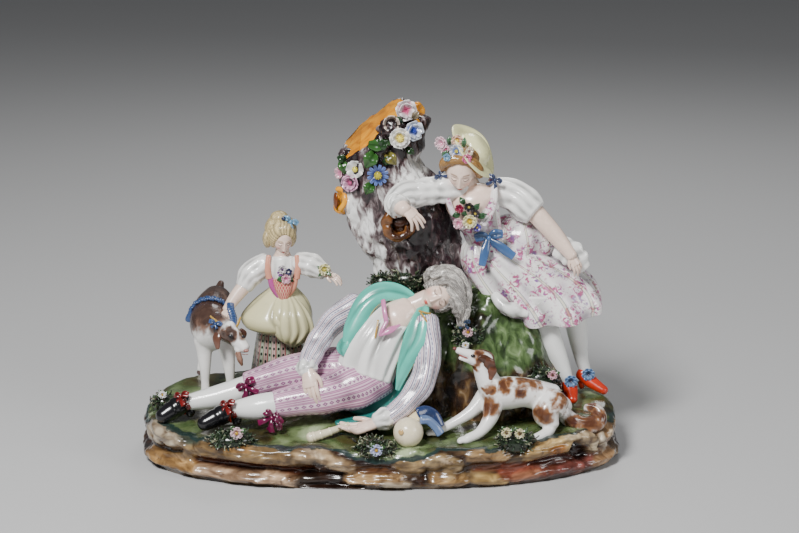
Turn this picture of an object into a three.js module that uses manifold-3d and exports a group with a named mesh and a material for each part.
// A porcelain figure group, modelled by hand, fired as one piece and painted over the glaze.
// A shepherd sleeps against a grassy rock, a shepherdess leans over him from a tree stump hung with
// flowers, a girl leads a goat, and a dog watches. All of it stands on one oval rockwork base.
//
// Millimetres, +Z up. The front, from which the group is looked at, faces -Y, and +X is to the right.
// The origin is the middle of the flat underside. Every part overlaps what carries it, and all of
// them are joined into one closed solid, because the real parts are luted together and glazed over.

import * as THREE from "three";
import { mergeVertices } from "three/addons/utils/BufferGeometryUtils.js";
import Module from "manifold-3d";

const wasm = await Module();
wasm.setup();

// Driving sizes of the base.
const BASE_LENGTH = 325;
const BASE_DEPTH = 164;
const OVAL = 2.4; // 2 is an ellipse, more is squarer
const GROUND = 31; // height of the grass at the middle of the base
const GROUND_SLOPE = 0.07; // rise towards the back, per millimetre
const LIP_WANDER = 0.016; // how far the lip draws in, as a share of the oval
const LIP_WAVES = 1.6; // how far the lip rises and falls
const HIP_BANK = { x: -14, y: -22, rise: 6, reachX: 42, reachY: 24 }; // bank under the sleeper's hips

// Driving sizes of the figures, in the adults' head height and the child's.
const HEAD = 13.5; // half of an adult head's height
const CHILD_HEAD = 10.5;

// The break of the stump slopes down to the left and towards the viewer.
const BREAK = { normal: [-0.62, -0.22, 0.75], through: [-4, 24, 217] };

const TOWARDS_VIEWER = [0, -1, 0];
const UP = [0, 0, 1];

const vector = (p) => new THREE.Vector3(...p);

// A three.js geometry as a solid. Only the positions count, and collapsed triangles are dropped.
function solid(geometry) {
  const bare = geometry.clone();
  for (const name of ["normal", "uv"]) bare.deleteAttribute(name);
  const merged = mergeVertices(bare, 1e-4);
  const corners = Array.from(merged.index.array);
  const triVerts = [];
  for (let i = 0; i < corners.length; i += 3) {
    const [a, b, c] = corners.slice(i, i + 3);
    if (a !== b && b !== c && c !== a) triVerts.push(a, b, c);
  }
  return new wasm.Manifold(
    new wasm.Mesh({
      numProp: 3,
      vertProperties: new Float32Array(merged.attributes.position.array),
      triVerts: new Uint32Array(triVerts),
    }),
  );
}

const join = (solids) => solids.reduce((whole, next) => whole.add(next));

function moveVertices(geometry, place) {
  const at = geometry.attributes.position;
  const v = new THREE.Vector3();
  for (let i = 0; i < at.count; i += 1) {
    place(v.fromBufferAttribute(at, i));
    at.setXYZ(i, v.x, v.y, v.z);
  }
  return geometry;
}

// A limb is a capsule bent along a smooth path. wide and deep are half sizes at the path's points:
// deep is measured towards facing, and wide across it. Rings stand square to the path, or square to
// level where that is given, as a skirt's hem does. swell(angle, t) scales the section.
function limb({ path, wide, deep = wide, facing = TOWARDS_VIEWER, level, sides = 6, steps = 3,
  ends = [0.6, 0.6], swell = () => 1 }) {
  const curve = new THREE.CatmullRomCurve3(path.map(vector), false, "catmullrom", 0.5);
  const sizes = new THREE.CatmullRomCurve3(
    wide.map((w, i) => new THREE.Vector3(w, deep[i], 0)), false, "catmullrom", 0.5);
  const capsule = new THREE.CapsuleGeometry(1, 1, 1, sides, steps);
  return solid(moveVertices(capsule, (v) => {
    const t = THREE.MathUtils.clamp(v.y + 0.5, 0, 1);
    const beyond = v.y - THREE.MathUtils.clamp(v.y, -0.5, 0.5);
    const along = level ? vector(level).normalize() : curve.getTangent(t);
    const front = vector(facing).addScaledVector(along, -along.dot(vector(facing))).normalize();
    const side = along.clone().cross(front);
    const size = sizes.getPoint(t);
    const grow = swell(Math.atan2(v.z, v.x), t);
    const cap = beyond * Math.min(size.x, size.y) * (beyond < 0 ? ends[0] : ends[1]);
    const { x, z } = v;
    v.copy(curve.getPoint(t))
      .addScaledVector(side, x * size.x * grow)
      .addScaledVector(front, z * size.y * grow)
      .addScaledVector(along, cap);
  }));
}

// Turns the directions across, front and up of a lump, head or flower into a rotation.
function stand(up, facing) {
  const z = vector(up).normalize();
  const y = vector(facing).multiplyScalar(-1);
  y.addScaledVector(z, -y.dot(z)).normalize();
  return new THREE.Matrix4().makeBasis(y.clone().cross(z), y, z);
}

// An ellipsoid with half sizes across, front to back and upwards, turned by stand().
function lump({ at, size, up = UP, facing = TOWARDS_VIEWER, sides = 7, rows = 5 }) {
  const ball = new THREE.SphereGeometry(1, sides, rows).rotateX(Math.PI / 2);
  ball.scale(...size).applyMatrix4(stand(up, facing)).translate(...at);
  return solid(ball);
}

// A turned shape: profile holds [radius, height] pairs, from the axis round to the axis again.
function turned({ profile, at, up = UP, facing = TOWARDS_VIEWER, sides = 12 }) {
  const shape = new THREE.LatheGeometry(profile.map(([r, h]) => new THREE.Vector2(r, h)), sides);
  shape.rotateX(Math.PI / 2).applyMatrix4(stand(up, facing)).translate(...at);
  return solid(shape);
}

// An open flower or rosette: a flat lump whose rim is cut into petals, facing outwards.
function flower({ at, radius, facing, petals = 5 }) {
  const disc = new THREE.SphereGeometry(1, 2 * petals, 3).rotateX(Math.PI / 2);
  moveVertices(disc, (v) => {
    const petal = 1 + 0.16 * Math.cos(petals * Math.atan2(v.y, v.x));
    v.set(v.x * radius * petal, v.y * radius * petal, v.z * radius * 0.5);
  });
  const upright = Math.abs(facing[2]) > 0.9 ? TOWARDS_VIEWER : UP;
  disc.applyMatrix4(stand(facing, upright)).translate(...at);
  return solid(disc);
}

// A bow: two loops either side of a knot, across the direction it faces.
function bow({ at, reach, across, facing }) {
  const aside = vector(across).normalize().multiplyScalar(reach);
  const path = [-1, 0, 1].map((s) => vector(at).addScaledVector(aside, s).toArray());
  return limb({ path, wide: [0.55, 0.3, 0.55].map((share) => share * reach),
    deep: [0.35, 0.3, 0.35].map((share) => share * reach), facing, sides: 5, steps: 2 });
}

// Height of the grass at a place on the base.
function ground(x, y) {
  const bank = HIP_BANK.rise
    * Math.exp(-(((x - HIP_BANK.x) / HIP_BANK.reachX) ** 2) - ((y - HIP_BANK.y) / HIP_BANK.reachY) ** 2);
  return GROUND + GROUND_SLOPE * y + bank + 0.9 * Math.sin(x / 19) * Math.cos(y / 15);
}

// The oval base: a foot, a deep groove and a scrolled lip, with the grass falling to the lip.
function base() {
  const profile = [[0, 0], [0.975, 0], [1, 0.2], [0.965, 0.42], [0.985, 0.75], [0.95, 0.98], [0.86, 1],
    [0.5, 1], [0, 1]];
  const shape = new THREE.LatheGeometry(profile.map(([r, h]) => new THREE.Vector2(r, h)), 36);
  shape.rotateX(Math.PI / 2);
  return solid(moveVertices(shape, (v) => {
    const round = Math.atan2(v.y, v.x);
    const reach = Math.hypot(v.x, v.y);
    const foot = v.z < 0.4 ? 0 : 1; // the foot keeps the oval, and the lip above it wanders
    const waves = 1 + Math.sin(5 * round + 1) * Math.cos(3 * round);
    const wander = 1 - foot * LIP_WANDER * waves * Math.min(1, reach);
    const fuller = (Math.abs(Math.cos(round)) ** OVAL + Math.abs(Math.sin(round)) ** OVAL) ** (-1 / OVAL);
    const x = v.x * (BASE_LENGTH / 2) * wander * fuller;
    const y = v.y * (BASE_DEPTH / 2) * wander * fuller;
    const lip = LIP_WAVES * Math.sin(9 * round) * Math.sin(4 * round + 2);
    v.set(x, y, v.z === 0 ? 0 : v.z * (ground(x, y) + (reach > 0.8 ? lip : 0)));
  }));
}

// The grassy rock that carries the sleeper's shoulders and the shepherdess's skirt.
function rock() {
  const crag = (angle, t) =>
    1 + (1 - t) * 0.07 * Math.sin(3 * angle + 1) + 0.05 * Math.sin(5 * angle + 6 * t);
  return [
    limb({ path: [[76, 12, 24], [76, 12, 46], [75, 13, 68], [74, 14, 90], [76, 16, 106]], level: UP,
      wide: [54, 50, 43, 33, 20], deep: [44, 40, 35, 28, 18], sides: 12, steps: 4, ends: [0.1, 0.3],
      swell: crag }),
    limb({ path: [[40, -6, 30], [38, -2, 60], [44, 2, 88]], wide: [18, 15, 11], deep: [20, 16, 12],
      level: UP, sides: 7 }),
  ];
}

// The stump: a leaning trunk with its top broken off aslant, a spur, two sawn branches, a knot, and a
// burr in front of the break.
function tree() {
  const trunk = limb({
    path: [[36, 30, 22], [33, 29, 66], [29, 27, 106], [25, 26, 127], [17, 25, 147], [10, 24, 172],
      [-1, 24, 195], [-2, 24, 214], [-3, 25, 240]],
    wide: [38, 34, 29, 29, 33, 33, 25, 23, 18], deep: [29, 26, 24, 24, 25, 24, 22, 20, 15],
    level: [-0.1, 0, 1], sides: 12, steps: 8, ends: [0.1, 0.2],
    swell: (angle, t) => 1 + 0.05 * Math.sin(4 * angle + 5 * t) + 0.03 * Math.cos(7 * angle) });
  const away = new THREE.BoxGeometry(120, 120, 60).translate(0, 0, 30);
  away.applyMatrix4(stand(BREAK.normal, TOWARDS_VIEWER)).translate(...BREAK.through);
  const shape = { sides: 8, steps: 2, ends: [0.3, 0.12], facing: [0, 0.3, 1] };
  const stub = (path, wide) => limb({ path, wide, ...shape });
  return [
    trunk.subtract(solid(away)),
    lump({ at: [8, 9, 219], size: [9, 8, 9], sides: 6, rows: 4 }),
    stub([[12, 26, 194], [22, 25, 212], [27, 24, 226]], [12, 9.5, 7]),
    stub([[0, 22, 164], [-16, 20, 167], [-25, 19, 168]], [12, 9.5, 8]),
    stub([[17, 14, 152], [14, 3, 155], [13, -5, 155.5]], [12, 10.5, 9]),
  ];
}

// A head stands on its neck along up and looks along facing. half is half of its height.
function head({ at, up, facing, half }) {
  const frame = stand(up, facing);
  const scaled = (shares) => shares.map((share) => share * half);
  const chin = vector(scaled([0, -0.22, -0.5])).applyMatrix4(frame).add(vector(at)).toArray();
  return [
    lump({ at, size: scaled([0.76, 0.86, 0.95]), up, facing, sides: 8, rows: 6 }),
    lump({ at: chin, size: scaled([0.5, 0.5, 0.55]), up, facing, sides: 6, rows: 4 }),
  ];
}

// A hand: a flat palm that runs on into closed fingers, and a thumb beside it.
function hand({ path, thumb, facing, size = 1 }) {
  const palm = limb({ path, wide: [3.4, 5.2, 3.6].map((w) => w * size),
    deep: [3, 2.8, 1.8].map((d) => d * size), facing, steps: 2 });
  if (!thumb) return [palm];
  const finger = { wide: [1.8 * size, 1.4 * size], facing, sides: 4, steps: 1 };
  return [palm, limb({ path: [path[0], thumb], ...finger })];
}

function shoe({ path, wide, deep }) {
  return limb({ path, wide, deep, facing: UP, ends: [0.8, 1] });
}

// The shepherd lies on his back along the base, with his head on the rock at the right.
function shepherd() {
  const chestFacing = [-0.3, -0.85, 0.45];
  const broadShoe = { wide: [5.5, 7, 5.2], deep: [6.4, 6.6, 4.8] };
  return [
    // shirt, from the belly to the collar
    limb({ path: [[-18, -28, 58], [-11, -28, 70], [-1, -24, 84], [8, -18, 96], [14, -15, 102]],
      wide: [17, 18.5, 22, 25, 15], deep: [14, 14, 16, 13, 9], facing: chestFacing, sides: 8, steps: 4 }),
    // seat and breeches
    lump({ at: [-20, -28, 53], size: [20, 15, 17], sides: 8 }),
    limb({ path: [[-14, -34, 54], [-36, -40, 51], [-66, -44, 46]], wide: [15, 12.5, 9], sides: 8 }),
    limb({ path: [[-24, -20, 60], [-54, -19, 60], [-86, -21, 51]], wide: [15, 12.5, 9], sides: 8 }),
    // stockings and shoes
    limb({ path: [[-62, -44, 47], [-80, -45, 44], [-98, -44, 42]], wide: [8, 8, 4.6], sides: 7 }),
    limb({ path: [[-84, -21, 51], [-106, -24, 44.5], [-130, -28, 41]], wide: [8, 7.8, 4.6], sides: 7 }),
    shoe({ path: [[-96, -43.5, 41], [-104, -47, 38.5], [-113, -51, 34.5]], ...broadShoe }),
    shoe({ path: [[-128, -27, 41], [-135, -31, 38.5], [-142, -36, 34.5]], ...broadShoe }),
    bow({ at: [-69, -51, 36], reach: 6, across: [1, 0, -0.8], facing: TOWARDS_VIEWER }),
    bow({ at: [-88, -28, 50], reach: 6, across: [1, 0, 0.8], facing: TOWARDS_VIEWER }),
    // coat: the turned-back front over his right shoulder, the left front, the back and the tail
    limb({
      path: [[22, -12, 112], [8, -5, 114], [-8, -4, 111], [-18, -10, 99], [-22, -19, 86], [-21, -24, 76]],
      wide: [3, 4.6, 6, 6.4, 5.5, 2], deep: [3, 3.6, 4, 4, 3.4, 2], facing: chestFacing, steps: 5 }),
    limb({ path: [[30, -20, 108], [31, -31, 96], [25, -39, 80], [16, -42, 62]], wide: [4, 7, 7.5, 5],
      deep: [3, 3.5, 3.5, 2.5], facing: chestFacing, steps: 4 }),
    limb({ path: [[26, -8, 104], [12, -12, 82], [-4, -20, 54], [-14, -30, 36]], wide: [22, 25, 24, 22],
      deep: [7, 8, 8, 5], facing: chestFacing }),
    limb({ path: [[14, -38, 42], [-6, -42, 35], [-26, -44, 32]], wide: [7, 8, 5], deep: [4, 3, 2],
      facing: UP }),
    // right arm over the thigh, left arm out on the grass
    limb({ path: [[-15, -8, 102], [-29, -14, 95], [-38, -24, 86], [-44, -33, 77], [-47, -40, 71]],
      wide: [10, 8.5, 7.8, 7, 6] }),
    ...hand({ path: [[-46, -42, 71], [-45, -50, 63], [-43.5, -54, 55]], thumb: [-40, -51, 60],
      facing: [0, -1, 0.6] }),
    limb({ path: [[31, -26, 97], [36, -36, 80], [32, -46, 60], [20, -52, 46], [7, -56, 36]],
      wide: [10, 9.5, 9, 7.5, 6.5], steps: 4 }),
    ...hand({ path: [[5, -56, 34], [-7, -59, 31], [-20, -61, 31]], thumb: [-9, -52, 34], facing: UP }),
    // neck, head, tied hair
    limb({ path: [[14, -17, 101], [23, -18, 105], [31, -18, 109]], wide: [9, 6.8, 6.8], steps: 2 }),
    ...head({ at: [39, -18, 112.5], up: [0.92, 0.05, 0.36], facing: [-0.05, -0.95, 0.12], half: HEAD }),
    limb({ path: [[33, -12, 121], [43, -9.5, 124], [54, -11, 119], [58, -15, 109]],
      wide: [6, 10, 10.5, 7.5], deep: [6, 9, 10, 8.5] }),
    limb({ path: [[56, -15, 110], [57.5, -21, 102], [56, -24, 94]], wide: [7, 5.5, 3.4] }),
  ];
}

// The shepherdess stands behind the rock, bent forwards, with one arm on the stump.
function shepherdess() {
  const looking = { up: [0, -0.39, 0.92], facing: [-0.1, -0.915, -0.39] };
  const folds = (angle, t) => 1 + 0.045 * t * Math.cos(9 * angle);
  const narrowShoe = { wide: [4.6, 4.8, 3.6], deep: [4.8, 4.2, 3] };
  return [
    limb({ path: [[71, 17, 138], [68, 14, 151], [63, 11, 164], [61, 12, 177]], wide: [12.5, 14, 17.5, 20],
      deep: [10, 11, 13, 10], facing: [-0.4, -0.85, -0.1], sides: 9, steps: 4 }),
    // skirt, its bustle, and the petticoat under it
    limb({
      path: [[71, 16, 143], [79, 17, 136], [90, 17, 126], [103, 15, 113], [112, 12, 102], [115, 11, 96]],
      wide: [12, 24, 35, 40, 38, 36], deep: [10, 18, 23, 26, 26, 25], level: [0.05, 0.3, -1], sides: 12,
      steps: 5, ends: [0.1, 0.1], swell: folds }),
    lump({ at: [95, 24, 140], size: [28, 18, 18], sides: 8 }),
    limb({ path: [[106, 10, 108], [108, 9, 96], [109, 9, 88]], wide: [27, 25, 22], deep: [19, 17, 15],
      level: [0, 0, -1], sides: 8, steps: 1, ends: [0.1, 0.1] }),
    bow({ at: [72, 4, 140], reach: 7, across: [1, 0, -0.2], facing: TOWARDS_VIEWER }),
    // right arm on the stump, left arm down to the apron that she lifts
    limb({ path: [[52, 11, 178], [34, 5, 178], [18, -1, 176], [12, -7, 172], [16, -12, 170]],
      wide: [10, 9, 9.6, 9, 7.5], steps: 4 }),
    ...hand({ path: [[15, -14, 172], [21, -18, 169], [28, -19, 163]], thumb: [24, -20, 170],
      facing: [0, -0.8, 0.6] }),
    limb({ path: [[80, 17, 174], [93, 15, 171], [103, 9, 163]], wide: [10, 11, 9.5], sides: 7 }),
    limb({ path: [[102, 10, 164], [117, 4, 148], [128, -2, 135]], wide: [6.5, 5.4, 3.8] }),
    ...hand({ path: [[127, -1, 136], [132, -3, 131], [134, -5, 126]], facing: [0, -1, 0.3], size: 0.9 }),
    limb({ path: [[122, 6, 138], [131, 4, 133], [137, 5, 124]], wide: [9, 8, 5], deep: [3, 3, 2.5],
      steps: 2 }),
    // legs
    limb({ path: [[108, 8, 96], [112, 5, 82], [121, 3, 62], [127, 1, 48]], wide: [9.5, 9.2, 6.6, 4.2] }),
    limb({ path: [[132, 25, 96], [135, 24, 76], [138, 22, 58], [141, 20, 48]], wide: [8.5, 7.2, 4.9, 4] }),
    shoe({ path: [[128, 2, 47], [129, -3, 42], [129.5, -9, 38]], ...narrowShoe }),
    shoe({ path: [[139, 20, 46], [145, 16, 41], [151.5, 11, 37.5]], ...narrowShoe }),
    // neck, head, hair, tilted straw hat and the flowers in front of it
    limb({ path: [[61, 13, 176], [57, 8, 187]], wide: [8, 6.5], steps: 1 }),
    ...head({ at: [54, 3, 192.5], ...looking, half: HEAD }),
    lump({ at: [55, 6, 197], size: [12, 12, 10], ...looking, sides: 8 }),
    turned({ profile: [[0, -2.5], [20, -1.6], [20.6, -0.4], [12.5, 1.2], [10.5, 6], [6, 8.4], [0, 9]],
      at: [62, 9, 204.5], up: [0.78, -0.1, 0.62], sides: 12 }),
    lump({ at: [50, -1, 206], size: [7.5, 5.5, 5.5], up: [-0.3, 0, 1], sides: 7, rows: 4 }),
    lump({ at: [58, -1, 163], size: [6, 3, 6], sides: 6, rows: 4 }),
  ];
}

// The girl stands at the back on the left, with one hand on the goat.
function girl() {
  const looking = { up: [0.1, -0.3, 0.95], facing: [0.25, -0.9, -0.35] };
  const gathers = (angle, t) => 1 + 0.05 * Math.cos(6 * angle) * Math.sin(Math.PI * t);
  return [
    // bodice, apron and petticoat
    limb({ path: [[-67, 41, 98], [-67, 39, 109], [-67, 38, 119]], wide: [8, 10.5, 12], deep: [7, 8.5, 7.5],
      sides: 9 }),
    limb({ path: [[-67, 41, 102], [-69, 40, 92], [-71, 38, 78], [-69, 37, 66], [-66, 37, 62]],
      wide: [9, 19, 24.5, 21, 13], deep: [8, 15, 19, 17, 11], level: [0, 0, -1], sides: 10, steps: 4,
      ends: [0.2, 0.3], swell: gathers }),
    limb({ path: [[-70, 43, 78], [-70, 44, 56], [-71, 45, 30]], wide: [14, 17.5, 20], deep: [12, 15, 17],
      level: [0, 0, -1], sides: 10, steps: 1, ends: [0.1, 0.1],
      swell: (angle) => 1 + 0.05 * Math.cos(7 * angle) }),
    // right arm down to the goat, left arm out, with a flower at the wrist
    limb({ path: [[-78, 38, 120], [-88, 36, 113], [-93, 34, 105]], wide: [7, 8, 6.5] }),
    limb({ path: [[-92, 34, 106], [-99, 30, 98], [-105, 25, 90]], wide: [5, 4.6, 3.2], sides: 5 }),
    ...hand({ path: [[-105, 25, 90], [-107, 21, 88], [-105, 16, 87]], facing: UP, size: 0.7 }),
    limb({ path: [[-56, 38, 120], [-47, 35, 119], [-39, 31, 116]], wide: [7, 8, 6] }),
    ...hand({ path: [[-38, 31, 116], [-32, 27, 113], [-26, 23, 111]], facing: UP, size: 0.75 }),
    flower({ at: [-38, 26, 117], radius: 4, facing: [0.2, -0.9, 0.4] }),
    // neck, head, piled hair and the flowers on her breast
    limb({ path: [[-67, 38, 120], [-67, 37, 129]], wide: [5.4, 4.6], steps: 1 }),
    ...head({ at: [-67, 36, 138], ...looking, half: CHILD_HEAD }),
    lump({ at: [-68, 39.5, 143], size: [10.8, 10.5, 10.5], sides: 8 }),
    lump({ at: [-68.5, 41, 151], size: [6.5, 6.5, 5.5], rows: 4 }),
    lump({ at: [-65, 31, 111], size: [4.4, 3, 4.4], sides: 6, rows: 4 }),
  ];
}

function goat() {
  const leg = (path) => limb({ path, wide: [5, 3.8, 3.4], sides: 5, steps: 2 });
  const horn = (path) => limb({ path, wide: [1.6, 1.4, 1.1], sides: 4, steps: 2 });
  return [
    // body, with the neck and head turned to the right
    limb({ path: [[-115, 60, 84], [-117, 44, 83], [-117, 28, 79], [-115, 17, 74]], wide: [12, 13.5, 14, 11],
      deep: [14, 14.5, 15, 13], facing: UP, sides: 8 }),
    limb({ path: [[-114, 22, 80], [-108, 13, 81], [-101, 5, 79], [-92, -1, 72]], wide: [10, 8.5, 7.6, 4.6],
      facing: UP, sides: 7, steps: 4 }),
    leg([[-121, 20, 68], [-120, 17, 50], [-120, 15, 33]]),
    leg([[-106, 17, 68], [-103, 14, 50], [-102, 12, 33]]),
    leg([[-123, 58, 74], [-126, 62, 52], [-127, 60, 35]]),
    leg([[-108, 60, 74], [-108, 63, 52], [-107, 61, 35]]),
    horn([[-107, 8, 86], [-112, 8, 90], [-117, 9, 92]]),
    horn([[-100, 6, 85], [-98, 7, 90], [-96, 9, 93]]),
    // the hanging ear and the tail
    limb({ path: [[-108, 10, 82], [-113, 7, 76], [-114, 5, 70]], wide: [3, 3.6, 2], deep: [1.6, 1.6, 1.2],
      sides: 4, steps: 1 }),
    limb({ path: [[-115, 62, 86], [-114, 69, 92], [-113, 74, 96]], wide: [4.5, 3.6, 2.4], sides: 5,
      steps: 1 }),
  ];
}

function dog() {
  const leg = (path, wide) => limb({ path, wide, sides: 5 });
  return [
    // body, neck and lifted head
    limb({ path: [[73, -43, 52], [85, -41, 52], [100, -37, 49], [114, -33, 43]], wide: [10.5, 11, 9.5, 11],
      sides: 8, facing: UP }),
    limb({ path: [[74, -43, 54], [71, -43, 64], [68, -43, 74]], wide: [9.5, 7, 6.4] }),
    limb({ path: [[71, -42, 75], [64, -43, 77], [56, -44, 80], [50, -44, 82]], wide: [6.6, 7, 4.4, 2.8],
      facing: UP }),
    // forelegs stretched out, the near and the far hind leg, and the tail
    leg([[70, -40, 50], [60, -46, 41], [46, -50, 33], [38, -53, 30]], [6, 4, 3.2, 3.4]),
    leg([[76, -46, 48], [72, -55, 38], [63, -61, 31], [54, -65, 28]], [7, 4.4, 3.4, 3.6]),
    limb({ path: [[114, -40, 46], [109, -46, 39], [112, -50, 33]], wide: [10, 9, 6] }),
    leg([[113, -48, 32], [109, -55, 29], [101, -62, 28]], [5, 4, 3.2]),
    limb({ path: [[119, -28, 42], [119, -27, 31]], wide: [9, 6], steps: 1 }),
    limb({ path: [[119, -34, 40], [127, -36, 31], [137, -38, 28], [145, -35, 31], [141, -31, 37]],
      wide: [4, 4.6, 5, 5, 3], sides: 5, steps: 4 }),
  ];
}

// Things that lie about: a gourd flask with its neck and strap, a flute, and tufts of moss.
function stillLife() {
  const tufts = [
    { at: [-146, -8, 33], size: [9, 7, 7] },
    { at: [-96, -62, 28], size: [14, 8, 6] },
    { at: [-2, -71, 26], size: [12, 6, 6] },
    { at: [88, -66, 28], size: [11, 7, 7] },
    { at: [108, -16, 52], size: [13, 9, 11] },
    { at: [59, -14, 83], size: [10, 7, 10] },
    { at: [20, 4, 116], size: [15, 8, 9] },
  ];
  return [
    lump({ at: [19, -67, 35], size: [10, 10, 10], sides: 9, rows: 6 }),
    limb({ path: [[23, -61, 40], [27, -58, 41], [31, -55, 40]], wide: [4, 3.6, 3], steps: 2 }),
    limb({ path: [[28, -56, 42], [36, -54, 37], [41, -58, 31]], wide: [2, 2, 2], deep: [4, 4, 4],
      facing: [0.4, -0.8, 0.4], sides: 5 }),
    limb({ path: [[-43, -64, 28.5], [-32, -59, 30.5], [-20, -53, 33]], wide: [3.2, 2.6, 2] }),
    ...tufts.map(({ at, size }) => lump({ at, size, sides: 6, rows: 4 })),
  ];
}

// The garland on the stump: large open blossoms, a daisy and leaves.
function garland() {
  const blossoms = [
    { at: [-16, 9, 192], radius: 6.5 },
    { at: [-18, 13, 182], radius: 6 },
    { at: [-1, 2, 189], radius: 7.2 },
    { at: [14, 5, 213], radius: 8 },
    { at: [23, 14, 218], radius: 6.5, petals: 4 },
    { at: [18, 20, 230], radius: 7.5 },
  ];
  const leaves = [
    { at: [-6, 4, 200], lean: -0.7 },
    { at: [2, 3, 209], lean: 0.5 },
    { at: [-22, 15, 194], lean: 0.2 },
    { at: [-6, 3, 180], lean: 0.9 },
    { at: [11, 4, 199], lean: -0.4 },
  ];
  return [
    ...blossoms.map(({ at, ...shape }) => flower({ at, ...shape, facing: [(at[0] - 5) / 60, -1, 0.15] })),
    ...leaves.map(({ at, lean }) => lump({ at, size: [5, 3.4, 8], up: [lean, 0, 1], sides: 5, rows: 4 })),
  ];
}

const whole = join([
  base(), ...rock(), ...tree(), ...garland(), ...shepherd(), ...shepherdess(), ...girl(), ...goat(),
  ...dog(), ...stillLife(),
]);

const { vertProperties, triVerts } = whole.getMesh();
const geometry = new THREE.BufferGeometry()
  .setAttribute("position", new THREE.BufferAttribute(vertProperties, 3))
  .setIndex(new THREE.BufferAttribute(triVerts, 1));

const porcelain = new THREE.MeshStandardMaterial({ color: 0xe9e4da, roughness: 0.16, metalness: 0 });
const figures = new THREE.Mesh(geometry, porcelain);
figures.name = "porcelain_figure_group";

const group = new THREE.Group();
group.add(figures);

export default group;
